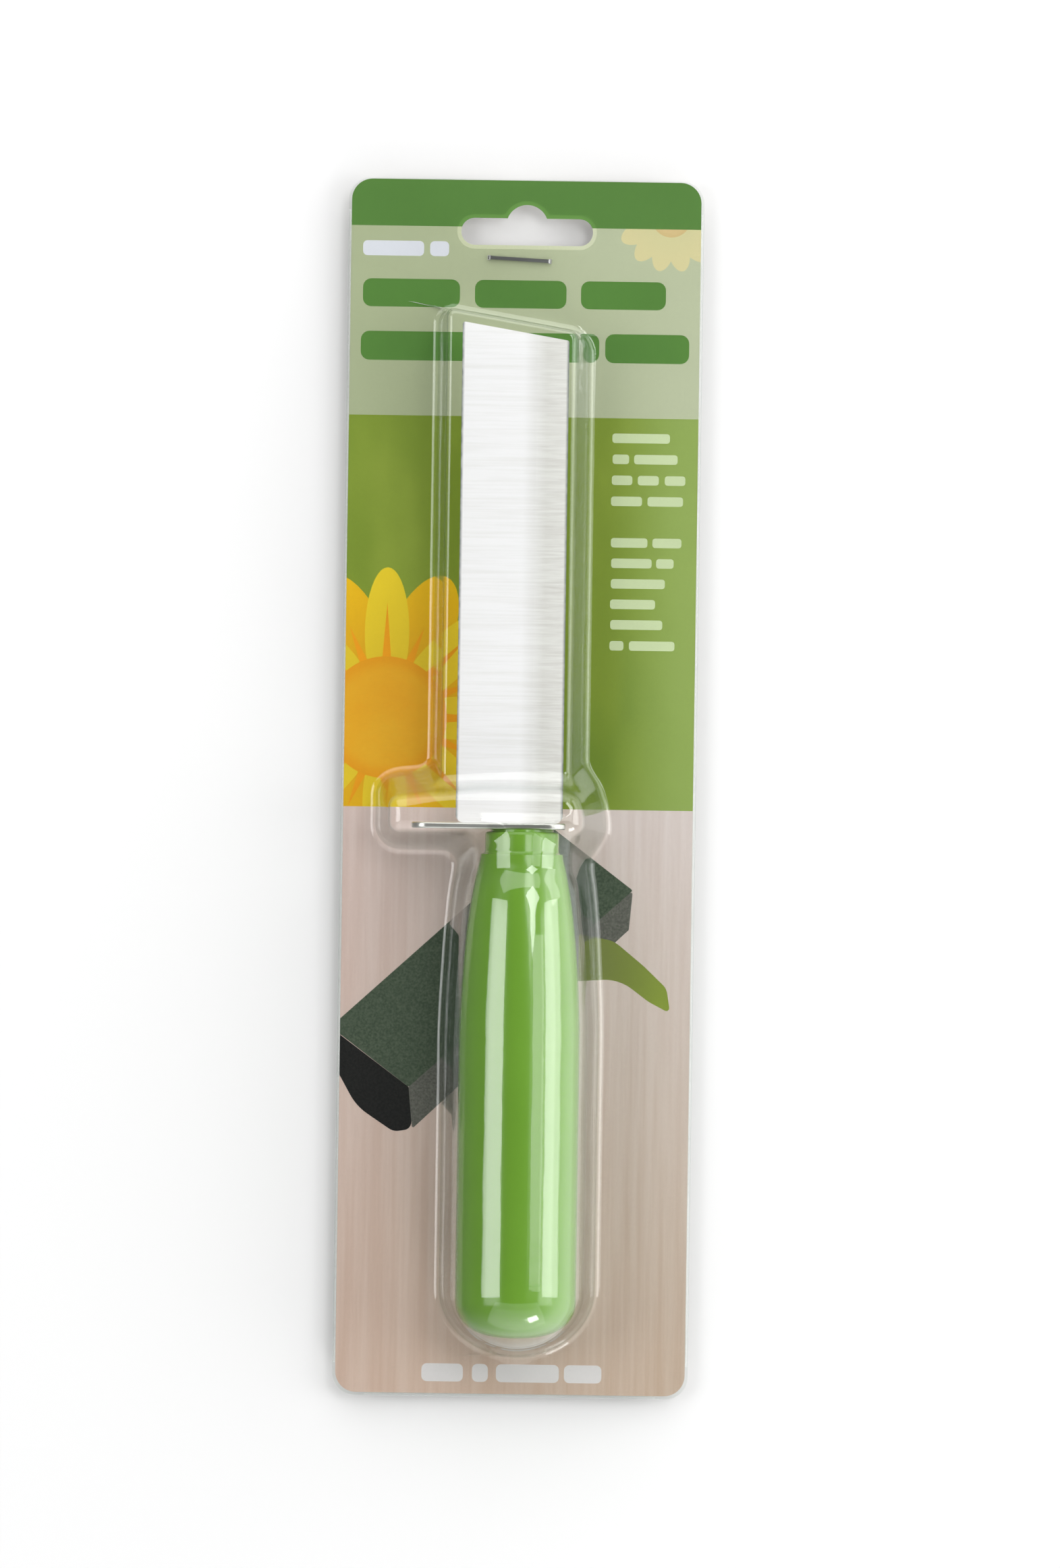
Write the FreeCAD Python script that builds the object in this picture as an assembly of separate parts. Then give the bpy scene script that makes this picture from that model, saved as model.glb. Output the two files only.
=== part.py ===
import FreeCAD, Part
import math
import os

from FreeCAD import Vector

# Floral foam knife in its hang-card pack, in millimetres.
# X runs across the card, Y along it towards the hang slot, Z up out of its printed face.
# The origin is under the middle of the pack, on the plane of its rear plastic strips.

# ---- the pack ----
PACK_WIDTH = 71.1
PACK_LENGTH = 243.5
SHEET = 0.35                # clear plastic sheet
CORNER_RADIUS = 4.5
FOLD_DEPTH = 5.0            # width of the rear strips
FOLD_BEND = 0.6             # outside radius of the folded edges
FOLD_SHORT = 6.5            # the folds stop this far short of the corners

CARD_THICKNESS = 0.55
CARD_SIDE_GAP = 0.25        # between the card's edges and the folds
CARD_BACK_GAP = 0.15        # between the card and the rear strips
CARD_FRONT_GAP = 0.07       # between the card and the plastic face
CARD_TOP_INSET = 0.2

CARD_BACK = SHEET + CARD_BACK_GAP
CARD_FRONT = CARD_BACK + CARD_THICKNESS
FACE_UNDER = CARD_FRONT + CARD_FRONT_GAP
FACE_TOP = FACE_UNDER + SHEET

# ---- the hang slot ----
SLOT_CENTRE = (0.16, 111.28)
SLOT_WIDTH = 26.35
SLOT_HEIGHT = 5.4
SLOT_BUMP_RADIUS = 4.2
SLOT_BUMP_RISE = 1.2        # centre of the bump above the centre of the slot
SLOT_PLASTIC_GROW = 0.8     # the plastic is cut this much wider all round
SLOT_END_FLAT = 0.1         # short straight left at the slot's round ends

# ---- the staple ----
STAPLE_CENTRE = (-1.28, 105.75)
STAPLE_TILT = -3.0
STAPLE_CROWN = 12.6
STAPLE_WIDE = 0.7
STAPLE_THICK = 0.4
STAPLE_BEND = 0.55          # outside radius of its bends
STAPLE_LEG_GAP = 3.0        # between the two clinched leg ends
STAPLE_BACK = 0.08          # height of the clinched legs above the rear plane
STAPLE_FRONT_GAP = 0.02
STAPLE_HOLE_ROOM = 0.12

# ---- the knife ----
KNIFE_X = 0.9               # the knife's long axis
HANDLE_REST_GAP = 0.2       # between the handle and the card
HANDLE_RADIUS = 12.05
KNIFE_Z = CARD_FRONT + HANDLE_REST_GAP + HANDLE_RADIUS

BLADE_THICKNESS = 1.1
BLADE_LEFT = -13.25         # long edge, from the knife's axis
BLADE_RIGHT = 8.0           # short edge, from the knife's axis
BLADE_TIP_LEFT = 92.7
BLADE_TIP_RIGHT = 89.1
BLADE_HEEL = -6.9
BLADE_HEEL_RADIUS = 1.5
BLADE_TIP_RADIUS = 0.5
BEVEL_WIDTH = 6.3
BEVEL_EDGE = 0.4            # thickness left at the bevelled edge
TANG_WIDTH = 9.0
TANG_END = -52.0

GUARD_THICKNESS = 1.2
GUARD_LEFT = -22.0          # from the knife's axis
GUARD_RIGHT = 8.6
GUARD_HEIGHT = 12.0
GUARD_CORNER = 3.3
GUARD_SOFT_EDGE = 0.35

GUARD_REAR = BLADE_HEEL - GUARD_THICKNESS
HANDLE_SEAT_RADIUS = 6.2    # short boss that the guard sits on
HANDLE_NECK_START = -8.65
HANDLE_NECK_RADIUS = 7.35
HANDLE_NECK_END = -12.75
# the swell from the shoulder to full width: (y, radius)
HANDLE_SWELL = [(-13.1, 8.2), (-16.4, 8.9), (-23.1, 10.1), (-33.9, 11.25), (-48.0, HANDLE_RADIUS)]
HANDLE_STRAIGHT_END = -101.3
HANDLE_END = -109.3
HANDLE_END_SHAPE = 0.8      # 1 is an ellipse, and less is squarer

# ---- the bubbles in the clear plastic: outside sizes at the face (base) and at the roof ----
# the blade channel; its tip, given at the left edge, slopes with the blade
TIP_SLOPE = (BLADE_TIP_RIGHT - BLADE_TIP_LEFT) / (BLADE_RIGHT - BLADE_LEFT)
CHANNEL_START = -3.0
CHANNEL_BASE = {"left": -18.2, "right": 13.8, "tip": 96.4, "corner": 3.5}
CHANNEL_ROOF = {"left": -15.1, "right": 10.4, "tip": 95.45, "corner": 1.8}
CHANNEL_TOP = 15.6
CHANNEL_BURIED_CORNER = 0.5     # at the end that is inside the guard pocket

# the guard pocket: its corners from bottom left, anticlockwise
POCKET_BASE = [(-29.4, -12.6), (17.9, -12.6), (17.9, 0.3), (13.4, 5.2), (-19.5, 4.8), (-29.4, 2.2)]
POCKET_BASE_CORNERS = [5.0, 4.0, 3.0, 2.0, 4.0, 3.5]
POCKET_ROOF = [(-25.3, -8.7), (12.8, -8.7), (12.8, -3.2), (10.6, -0.6), (-15.2, -0.6), (-25.3, -1.6)]
POCKET_ROOF_CORNERS = [1.5, 1.5, 1.2, 1.0, 1.2, 1.5]
POCKET_TOP = 21.6

# the handle bubble: a half-round top on drafted walls
BUBBLE_X = 1.3
BUBBLE_START = -7.2
BUBBLE_NECK_END = -16.0
# outline at the knife's height, and at the foot of the walls: (y, half width)
BUBBLE_CREST = [(BUBBLE_NECK_END, 10.3), (-19.5, 11.4), (-26.5, 12.35), (-36.0, 13.1), (-48.0, 13.6)]
BUBBLE_FOOT = [(BUBBLE_NECK_END, 13.9), (-19.5, 14.4), (-26.5, 15.1), (-36.0, 15.75), (-48.0, 16.25)]
BUBBLE_CREST_END = (-101.0, -111.6)     # where the straight stops, and the end itself
BUBBLE_FOOT_END = (-98.0, -113.4)
END_POINTS = 9


def xyz(x, y, z=0.0):
    return Vector(x, y, z)


def rounded_box(left, bottom, right, top, low, high, radius):
    """An upright block with rounded vertical edges."""
    block = Part.makeBox(right - left, top - bottom, high - low, xyz(left, bottom, low))
    upright = [e for e in block.Edges if abs(e.tangentAt(e.FirstParameter).z) > 0.99]
    return block.makeFillet(radius, upright)


def rounded_outline(corners, radii, z=0.0, inset=0.0):
    """A closed wire of straight runs and corner arcs, moved inwards by an inset."""
    count = len(corners)
    starts = []
    ends = []
    middles = []
    for i, corner in enumerate(corners):
        here = xyz(*corner, z)
        before = (xyz(*corners[i - 1], z) - here).normalize()
        after = (xyz(*corners[(i + 1) % count], z) - here).normalize()
        half = before.getAngle(after) / 2
        inward = (before + after).normalize()
        here = here + inward * (inset / math.sin(half))
        radius = radii[i] - inset
        back = radius / math.tan(half)
        starts.append(here + before * back)
        ends.append(here + after * back)
        middles.append(here + inward * (radius / math.sin(half) - radius))
    edges = []
    for i in range(count):
        edges.append(Part.Arc(starts[i], middles[i], ends[i]).toShape())
        edges.append(Part.LineSegment(ends[i], starts[(i + 1) % count]).toShape())
    return Part.Wire(edges)


def spline_edge(points, leaves, arrives):
    """A smooth curve through points, with its direction given at both ends."""
    curve = Part.BSplineCurve()
    curve.interpolate(Points=points, InitialTangent=leaves, FinalTangent=arrives)
    return curve.toShape()


def swell_edge(points):
    """A smooth swell that leaves along its first chord and arrives along the object's length."""
    return spline_edge(points, points[1] - points[0], xyz(0, -1))


def end_edge(points):
    """A rounded end: it leaves along the object's length and arrives across it."""
    inward = xyz(points[-1].x - points[0].x, 0).normalize()
    return spline_edge(points, xyz(0, -1), inward)


def round_end(width, straight_end, end, shape=1.0):
    """Points (across, y) of a quarter oval, from the side to the middle of a rounded end."""
    points = [(width, straight_end)]
    for i in range(1, END_POINTS - 1):
        turn = math.pi / 2 * i / (END_POINTS - 1)
        across = width * math.cos(turn) ** shape
        points.append((across, straight_end + (end - straight_end) * math.sin(turn) ** shape))
    return points + [(0, end)]


def turned(profile, centre_x):
    """A solid of revolution about a line along Y at the knife's height."""
    solid = Part.Face(Part.Wire(profile)).revolve(xyz(0, 0), xyz(0, 1), 360)
    solid.translate(xyz(centre_x, 0, KNIFE_Z))
    return solid


# ---- plugs: the solids that the clear sheet is drawn over ----

def channel_outline(sizes, z, inset):
    left = sizes["left"]
    right = sizes["right"]
    tip_right = sizes["tip"] + TIP_SLOPE * (right - left)
    corners = [(left, CHANNEL_START), (right, CHANNEL_START), (right, tip_right), (left, sizes["tip"])]
    radii = [CHANNEL_BURIED_CORNER] * 2 + [sizes["corner"]] * 2
    return rounded_outline(corners, radii, z, inset)


def channel_plug(inset, foot_z):
    """The long low bubble over the blade."""
    base = channel_outline(CHANNEL_BASE, foot_z, inset)
    roof = channel_outline(CHANNEL_ROOF, CHANNEL_TOP - inset, inset)
    return Part.makeLoft([base, roof], True, True)


def pocket_plug(inset, foot_z):
    """The pocket over the guard, wider than the blade channel on both sides."""
    base = rounded_outline(POCKET_BASE, POCKET_BASE_CORNERS, foot_z, inset)
    roof = rounded_outline(POCKET_ROOF, POCKET_ROOF_CORNERS, POCKET_TOP - inset, inset)
    return Part.makeLoft([base, roof], True, True)


def bubble_side(stations, end, side, z, inset):
    """One side of the handle bubble's outline, from its start round to the middle of its end."""
    neck = BUBBLE_X + side * (stations[0][1] - inset)
    swell = [xyz(BUBBLE_X + side * (half - inset), y, z) for y, half in stations]
    width = stations[-1][1] - inset
    cap = [xyz(BUBBLE_X + side * x, y, z) for x, y in round_end(width, end[0], end[1] + inset)]
    return [
        Part.LineSegment(xyz(neck, BUBBLE_START - inset, z), swell[0]).toShape(),
        swell_edge(swell),
        Part.LineSegment(swell[-1], cap[0]).toShape(),
        end_edge(cap),
    ]


def bubble_outline(stations, end, z, inset):
    across = stations[0][1] - inset
    start = BUBBLE_START - inset
    corners = (xyz(BUBBLE_X - across, start, z), xyz(BUBBLE_X + across, start, z))
    edges = [Part.LineSegment(*corners).toShape()]
    for side in (-1, 1):
        edges += bubble_side(stations, end, side, z, inset)
    return Part.Wire(Part.__sortEdges__(edges))


def bubble_walls(inset, foot_z):
    """The drafted walls of the handle bubble, from the face up to the knife's height."""
    foot = bubble_outline(BUBBLE_FOOT, BUBBLE_FOOT_END, foot_z, inset)
    crest = bubble_outline(BUBBLE_CREST, BUBBLE_CREST_END, KNIFE_Z, inset)
    return Part.makeLoft([foot, crest], True, True)


def bubble_top(inset):
    """The half-round top of the handle bubble, with its neck and domed end."""
    swell = [xyz(radius - inset, y) for y, radius in BUBBLE_CREST]
    neck = xyz(swell[0].x, BUBBLE_START - inset)
    start = xyz(0, neck.y)
    end = BUBBLE_CREST_END[1] + inset
    cap = [xyz(x, y) for x, y in round_end(swell[-1].x, BUBBLE_CREST_END[0], end)]
    profile = [
        Part.LineSegment(start, neck).toShape(),
        Part.LineSegment(neck, swell[0]).toShape(),
        swell_edge(swell),
        Part.LineSegment(swell[-1], cap[0]).toShape(),
        end_edge(cap),
        Part.LineSegment(cap[-1], start).toShape(),
    ]
    whole = turned(profile, BUBBLE_X)
    box = whole.BoundBox
    corner = xyz(box.XMin, box.YMin, KNIFE_Z)
    return whole.common(Part.makeBox(box.XLength, box.YLength, box.ZLength, corner))


def forming_plugs(inset, foot_z):
    plugs = channel_plug(inset, foot_z)
    for plug in (pocket_plug(inset, foot_z), bubble_walls(inset, foot_z), bubble_top(inset)):
        plugs = plugs.fuse(plug)
    return plugs


# ---- cut-outs shared by the card and the plastic ----

def hang_slot(grow, low, high):
    """A bar with round ends, and a round bump above its middle."""
    x, y = SLOT_CENTRE
    half = SLOT_WIDTH / 2 + grow
    rise = SLOT_HEIGHT / 2 + grow
    bar = rounded_box(x - half, y - rise, x + half, y + rise, low, high, rise - SLOT_END_FLAT)
    bump = Part.makeCylinder(
        SLOT_BUMP_RADIUS + grow, high - low, xyz(x, y + SLOT_BUMP_RISE, low)
    )
    return bar.fuse(bump)


def tilted(shape):
    """Turns a shape about the staple's centre to the staple's tilt."""
    shape.rotate(xyz(*STAPLE_CENTRE), xyz(0, 0, 1), STAPLE_TILT)
    return shape


def staple_holes(low, high):
    """The two small slots that the staple's legs pass through."""
    x, y = STAPLE_CENTRE
    wide = STAPLE_WIDE + 2 * STAPLE_HOLE_ROOM
    thick = STAPLE_THICK + 2 * STAPLE_HOLE_ROOM
    reach = (STAPLE_CROWN - STAPLE_THICK) / 2
    holes = []
    for centre in (x - reach, x + reach):
        corner = xyz(centre - thick / 2, y - wide / 2, low)
        holes.append(Part.makeBox(thick, wide, high - low, corner))
    return tilted(Part.makeCompound(holes))


# ---- the pieces ----

def folded_edge(length, turn, out):
    """An edge of the plastic folded round behind the card: a channel, open towards the middle."""
    outer = Part.makeBox(FOLD_DEPTH, length, FACE_TOP, xyz(0, -length / 2, 0))
    inner = Part.makeBox(FOLD_DEPTH, length, FACE_UNDER - SHEET, xyz(SHEET, -length / 2, SHEET))
    bends = []
    for block, radius in ((outer, FOLD_BEND), (inner, FOLD_BEND - SHEET)):
        wall = block.BoundBox.XMin + SHEET / 2
        long_edges = [e for e in block.Edges if e.CenterOfMass.x < wall and e.Length == length]
        bends.append(block.makeFillet(radius, long_edges))
    channel = bends[0].cut(bends[1])
    channel.translate(xyz(-out, 0))
    channel.rotate(xyz(0, 0), xyz(0, 0, 1), turn)
    return channel


def blister_shell():
    """The clear thermoformed front, folded round the card on three sides."""
    half_x = PACK_WIDTH / 2
    half_y = PACK_LENGTH / 2
    side_length = PACK_LENGTH - 2 * FOLD_SHORT
    bottom_length = PACK_WIDTH - 2 * FOLD_SHORT
    folds = [
        folded_edge(side_length, 0, half_x),
        folded_edge(side_length, 180, half_x),
        folded_edge(bottom_length, 90, half_y),
    ]
    shell = rounded_box(-half_x, -half_y, half_x, half_y, FACE_UNDER, FACE_TOP, CORNER_RADIUS)
    for fold in folds:
        box = fold.BoundBox
        corner = xyz(box.XMin, box.YMin, FACE_UNDER)
        shell = shell.cut(Part.makeBox(box.XLength, box.YLength, SHEET, corner))
    for addition in folds + [forming_plugs(0, FACE_TOP - SHEET / 2)]:
        shell = shell.fuse(addition)
    shell = shell.cut(forming_plugs(SHEET, FACE_UNDER - SHEET))
    shell = shell.cut(hang_slot(SLOT_PLASTIC_GROW, CARD_BACK, FACE_TOP + SHEET))
    shell = shell.cut(staple_holes(CARD_BACK, FACE_TOP + SHEET))
    return shell.removeSplitter()


def backing_card():
    """The stiff printed card, free to slide out at the top of the plastic."""
    half = PACK_WIDTH / 2 - SHEET - CARD_SIDE_GAP
    bottom = -PACK_LENGTH / 2 + SHEET + CARD_SIDE_GAP
    top = PACK_LENGTH / 2 - CARD_TOP_INSET
    corner = CORNER_RADIUS - SHEET
    card = rounded_box(-half, bottom, half, top, CARD_BACK, CARD_FRONT, corner)
    card = card.cut(hang_slot(0, 0, FACE_UNDER))
    return card.cut(staple_holes(0, FACE_UNDER))


def staple():
    """A flat-wire staple: crown on the plastic, legs through the card, ends clinched inward."""
    x, y = STAPLE_CENTRE
    half = STAPLE_CROWN / 2
    top = FACE_TOP + STAPLE_FRONT_GAP + STAPLE_THICK
    corners = [(-half, STAPLE_BACK), (half, STAPLE_BACK), (half, top), (-half, top)]
    bends = [STAPLE_BEND] * len(corners)
    outside = Part.Face(rounded_outline(corners, bends))
    inside = Part.Face(rounded_outline(corners, bends, 0, STAPLE_THICK))
    wire = outside.cut(inside).extrude(xyz(0, 0, STAPLE_WIDE))
    gap_corner = xyz(-STAPLE_LEG_GAP / 2, STAPLE_BACK, 0)
    wire = wire.cut(Part.makeBox(STAPLE_LEG_GAP, STAPLE_THICK, STAPLE_WIDE, gap_corner))
    wire.rotate(xyz(0, 0), xyz(1, 0), 90)
    wire.translate(xyz(x, y + STAPLE_WIDE / 2))
    return tilted(wire)


def tang(top):
    """The tang, from its end inside the handle up to a given y."""
    corner = xyz(KNIFE_X - TANG_WIDTH / 2, TANG_END, KNIFE_Z - BLADE_THICKNESS / 2)
    return Part.makeBox(TANG_WIDTH, top - TANG_END, BLADE_THICKNESS, corner)


def bevel_wedge(side):
    """What is ground off one face of the blade's right edge, along its whole length."""
    right = KNIFE_X + BLADE_RIGHT
    face_z = KNIFE_Z + side * BLADE_THICKNESS / 2
    depth = side * (BLADE_THICKNESS - BEVEL_EDGE) / 2
    corners = [
        xyz(right - BEVEL_WIDTH, BLADE_HEEL, face_z),
        xyz(right, BLADE_HEEL, face_z - depth),
        xyz(right, BLADE_HEEL, face_z),
    ]
    outline = Part.makePolygon(corners + corners[:1])
    return Part.Face(outline).extrude(xyz(0, BLADE_TIP_LEFT - BLADE_HEEL))


def blade():
    """A slanted-tip blade with one bevelled edge and a hidden tang."""
    left = KNIFE_X + BLADE_LEFT
    right = KNIFE_X + BLADE_RIGHT
    corners = [(left, BLADE_HEEL), (right, BLADE_HEEL), (right, BLADE_TIP_RIGHT), (left, BLADE_TIP_LEFT)]
    radii = [BLADE_HEEL_RADIUS] * 2 + [BLADE_TIP_RADIUS] * 2
    outline = rounded_outline(corners, radii, KNIFE_Z - BLADE_THICKNESS / 2)
    plate = Part.Face(outline).extrude(xyz(0, 0, BLADE_THICKNESS))
    for side in (-1, 1):
        plate = plate.cut(bevel_wedge(side))
    return plate.fuse(tang(BLADE_HEEL + BLADE_HEEL_RADIUS)).removeSplitter()


def guard():
    """A thin flat plate across the knife, with rounded corners and softened edges."""
    left = KNIFE_X + GUARD_LEFT
    right = KNIFE_X + GUARD_RIGHT
    low = KNIFE_Z - GUARD_HEIGHT / 2
    high = KNIFE_Z + GUARD_HEIGHT / 2
    corners = [(left, low), (right, low), (right, high), (left, high)]
    outline = rounded_outline(corners, [GUARD_CORNER] * len(corners))
    plate = Part.Face(outline).extrude(xyz(0, 0, GUARD_THICKNESS))
    plate = plate.makeFillet(GUARD_SOFT_EDGE, plate.Edges)
    plate.rotate(xyz(0, 0), xyz(1, 0), 90)
    plate.translate(xyz(0, BLADE_HEEL))
    return plate.cut(tang(BLADE_HEEL))


def handle():
    """A turned handle with a stepped neck, a long swell and a rounded end."""
    swell = [xyz(radius, y) for y, radius in HANDLE_SWELL]
    oval = round_end(HANDLE_RADIUS, HANDLE_STRAIGHT_END, HANDLE_END, HANDLE_END_SHAPE)
    end = [xyz(x, y) for x, y in oval]
    steps = [
        xyz(0, GUARD_REAR),
        xyz(HANDLE_SEAT_RADIUS, GUARD_REAR),
        xyz(HANDLE_SEAT_RADIUS, HANDLE_NECK_START),
        xyz(HANDLE_NECK_RADIUS, HANDLE_NECK_START),
        xyz(HANDLE_NECK_RADIUS, HANDLE_NECK_END),
        swell[0],
    ]
    profile = [Part.LineSegment(a, b).toShape() for a, b in zip(steps, steps[1:])]
    profile += [
        swell_edge(swell),
        Part.LineSegment(swell[-1], end[0]).toShape(),
        end_edge(end),
        Part.LineSegment(end[-1], steps[0]).toShape(),
    ]
    return turned(profile, KNIFE_X).cut(tang(GUARD_REAR))


PIECES = (blister_shell, backing_card, staple, blade, guard, handle)

os.makedirs("parts", exist_ok=True)
for make in PIECES:
    piece = make()
    name = make.__name__
    print(name, "valid" if piece.isValid() else "broken", "solids", len(piece.Solids))
    piece.exportStep(f"parts/{name}.step")
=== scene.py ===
import math

import bpy
import numpy as np
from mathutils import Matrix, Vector
from mathutils.geometry import delaunay_2d_cdt


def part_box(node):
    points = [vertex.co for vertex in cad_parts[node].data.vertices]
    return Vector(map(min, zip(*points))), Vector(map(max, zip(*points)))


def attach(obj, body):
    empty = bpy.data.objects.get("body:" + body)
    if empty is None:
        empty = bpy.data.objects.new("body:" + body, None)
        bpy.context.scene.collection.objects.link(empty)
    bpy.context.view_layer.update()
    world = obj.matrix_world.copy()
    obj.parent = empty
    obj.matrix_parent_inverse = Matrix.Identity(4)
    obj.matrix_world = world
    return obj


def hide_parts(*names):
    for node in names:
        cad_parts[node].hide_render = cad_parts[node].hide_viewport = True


# Looks for a carded floral foam knife. Everything is in the row frame. Lengths are in
# millimetres until a mesh is made, and MM turns them into metres.

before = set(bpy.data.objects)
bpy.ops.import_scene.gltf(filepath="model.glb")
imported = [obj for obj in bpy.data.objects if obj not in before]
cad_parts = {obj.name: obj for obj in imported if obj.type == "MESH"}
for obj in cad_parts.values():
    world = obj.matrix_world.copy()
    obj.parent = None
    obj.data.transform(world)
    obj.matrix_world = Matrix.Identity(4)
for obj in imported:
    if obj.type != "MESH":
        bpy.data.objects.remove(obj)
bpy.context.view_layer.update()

MM = 0.001


def box_mm(node):
    """A CAD node's lowest and highest corners, in millimetres."""
    low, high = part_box(node)
    return np.array(low) / MM, np.array(high) / MM


SHELL_LOW, SHELL_HIGH = box_mm("blister_shell")
CARD_LOW, CARD_HIGH = box_mm("backing_card")
BLADE_LOW, BLADE_HIGH = box_mm("blade")
HANDLE_LOW, HANDLE_HIGH = box_mm("handle")
STAPLE_LOW, STAPLE_HIGH = box_mm("staple")

# the knife's long axis
AXIS_X = (HANDLE_LOW[0] + HANDLE_HIGH[0]) / 2
AXIS_Z = (HANDLE_LOW[2] + HANDLE_HIGH[2]) / 2
HANDLE_RADIUS = (HANDLE_HIGH[0] - HANDLE_LOW[0]) / 2
HANDLE_FRONT = HANDLE_HIGH[1]
HANDLE_END = HANDLE_LOW[1]

# the clear sheet
SHEET = 0.35
HEAD_ON = 0.042             # share of light that its surface reflects face on
CARD_GAP = 0.07             # air between the card and the sheet
FACE_UNDER = CARD_HIGH[2] + CARD_GAP
FACE_TOP = FACE_UNDER + SHEET
SHEET_CORNER = 4.5
FOLD_BEND = 0.6
FOLD_DEPTH = 5.0
FOLD_SHORT = 6.5            # folds stop this far short of the corners
FOLD_STEPS = 5
PAST_EDGE = 1.0             # cutting shapes run this far over an edge

# the hang slot, in the card; the sheet's slot is wider all round
SLOT_CENTRE = np.array([0.16, 111.28])
SLOT_HALF_WIDTH = 13.175
SLOT_HALF_HEIGHT = 2.7
SLOT_BUMP_RADIUS = 4.2
SLOT_BUMP_RISE = 1.2
SLOT_SHEET_GROW = 0.8
ARC_STEPS = 16

BEVEL_WIDTH = 6.3           # the blade's ground right side
BEVEL_FADE = (2.5, 2.0)     # how far its look blends in, left and right of its edge
# width of the painted shade along the blade's long edges
BLADE_EDGE_SHADE_WIDTH = 0.55

STAPLE_TILT = math.radians(-3.0)
STAPLE_HOLE = (0.32, 0.47)  # half sizes of a leg's hole
STAPLE_REACH = 6.1          # from the staple's middle to a leg's middle


# ---------------------------------------------------------------- meshes

def make_object(name, points, faces, materials, face_materials=None, smooth=True):
    """A mesh object from points in millimetres."""
    mesh = bpy.data.meshes.new(name)
    mesh.from_pydata([tuple(p) for p in np.asarray(points) * MM], [], faces)
    for material in materials:
        mesh.materials.append(material)
    if face_materials is not None:
        mesh.polygons.foreach_set("material_index", face_materials)
    mesh.polygons.foreach_set("use_smooth", [smooth] * len(mesh.polygons))
    mesh.validate()
    piece = bpy.data.objects.new(name, mesh)
    bpy.context.scene.collection.objects.link(piece)
    return piece


def open_edges(faces):
    """Directed edges that only one face uses."""
    seen = {}
    for face in faces:
        for a, b in zip(face, face[1:] + face[:1]):
            if (b, a) in seen:
                del seen[(b, a)]
            else:
                seen[(a, b)] = True
    return list(seen)


def thicken(points, normals, faces, thickness):
    """Closes an open surface into a sheet, with its second side below the normals."""
    count = len(points)
    both = np.vstack([points, points - normals * thickness])
    rim = [(b, a, a + count, b + count) for a, b in open_edges(faces)]
    under = [tuple(i + count for i in reversed(face)) for face in faces]
    return both, list(faces) + under + rim


def smooth_curve(stations):
    """A function through (place, value) stations, with no kinks."""
    place, value = np.array(sorted(stations), float).T
    slope = np.gradient(value, place)
    slope[0] = slope[-1] = 0

    def at(where):
        where = np.clip(where, place[0], place[-1])
        i = np.clip(np.searchsorted(place, where) - 1, 0, len(place) - 2)
        step = place[i + 1] - place[i]
        t = (where - place[i]) / step
        start = (2 * t**3 - 3 * t**2 + 1) * value[i] + (t**3 - 2 * t**2 + t) * step * slope[i]
        stop = (3 * t**2 - 2 * t**3) * value[i + 1] + (t**3 - t**2) * step * slope[i + 1]
        return start + stop

    return at


def inside(points, outline):
    """Which points lie inside a closed outline."""
    x, y = np.asarray(points).T
    result = np.zeros(len(x), bool)
    for (x0, y0), (x1, y1) in zip(outline, np.roll(outline, -1, axis=0)):
        if y0 == y1:
            continue
        crosses = ((y0 > y) != (y1 > y)) & (x < (x1 - x0) * (y - y0) / (y1 - y0) + x0)
        result ^= crosses
    return result


# ---------------------------------------------------------------- flat outlines

def rounded(corners, radii, steps=8):
    """A closed outline with round corners, as points."""
    corners = np.array(corners, float)
    radii = np.broadcast_to(radii, len(corners))
    points = []
    for i, here in enumerate(corners):
        before = corners[i - 1] - here
        after = corners[(i + 1) % len(corners)] - here
        before /= np.linalg.norm(before)
        after /= np.linalg.norm(after)
        half = math.acos(np.clip(before @ after, -1, 1)) / 2
        middle = (before + after) / np.linalg.norm(before + after)
        centre = here + middle * radii[i] / math.sin(half)
        start = here + before * radii[i] / math.tan(half) - centre
        turn = math.pi - 2 * half
        sign = 1 if before[0] * after[1] - before[1] * after[0] < 0 else -1
        for k in range(steps + 1):
            angle = sign * turn * k / steps
            c, s = math.cos(angle), math.sin(angle)
            points.append(centre + [c * start[0] - s * start[1], s * start[0] + c * start[1]])
    return np.array(points)


def rectangle(left, bottom, right, top):
    return [(left, bottom), (right, bottom), (right, top), (left, top)]


def slot_outline(grow=0.0):
    """The hang slot: a bar with round ends and a round bump above its middle."""
    half = SLOT_HALF_WIDTH + grow
    rise = SLOT_HALF_HEIGHT + grow
    radius = SLOT_BUMP_RADIUS + grow
    reach = math.sqrt(radius**2 - (rise - SLOT_BUMP_RISE) ** 2)
    start = math.atan2(rise - SLOT_BUMP_RISE, reach)
    points = []
    for k in range(ARC_STEPS + 1):
        angle = -math.pi / 2 + math.pi * k / ARC_STEPS
        points.append((half - rise + rise * math.cos(angle), rise * math.sin(angle)))
    for k in range(ARC_STEPS + 1):
        angle = start + (math.pi - 2 * start) * k / ARC_STEPS
        points.append((radius * math.cos(angle), SLOT_BUMP_RISE + radius * math.sin(angle)))
    for k in range(ARC_STEPS + 1):
        angle = math.pi / 2 + math.pi * k / ARC_STEPS
        points.append((-half + rise + rise * math.cos(angle), rise * math.sin(angle)))
    return np.array(points) + SLOT_CENTRE


def staple_hole_outlines():
    middle = (STAPLE_LOW[:2] + STAPLE_HIGH[:2]) / 2
    along = np.array([math.cos(STAPLE_TILT), math.sin(STAPLE_TILT)])
    across = np.array([-along[1], along[0]])
    half_length = STAPLE_HOLE[0] * along
    half_width = STAPLE_HOLE[1] * across
    outlines = []
    for side in (-1, 1):
        centre = middle + side * STAPLE_REACH * along
        signs = ((-1, -1), (1, -1), (1, 1), (-1, 1))
        outlines.append(np.array([centre + a * half_length + b * half_width for a, b in signs]))
    return outlines


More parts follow.
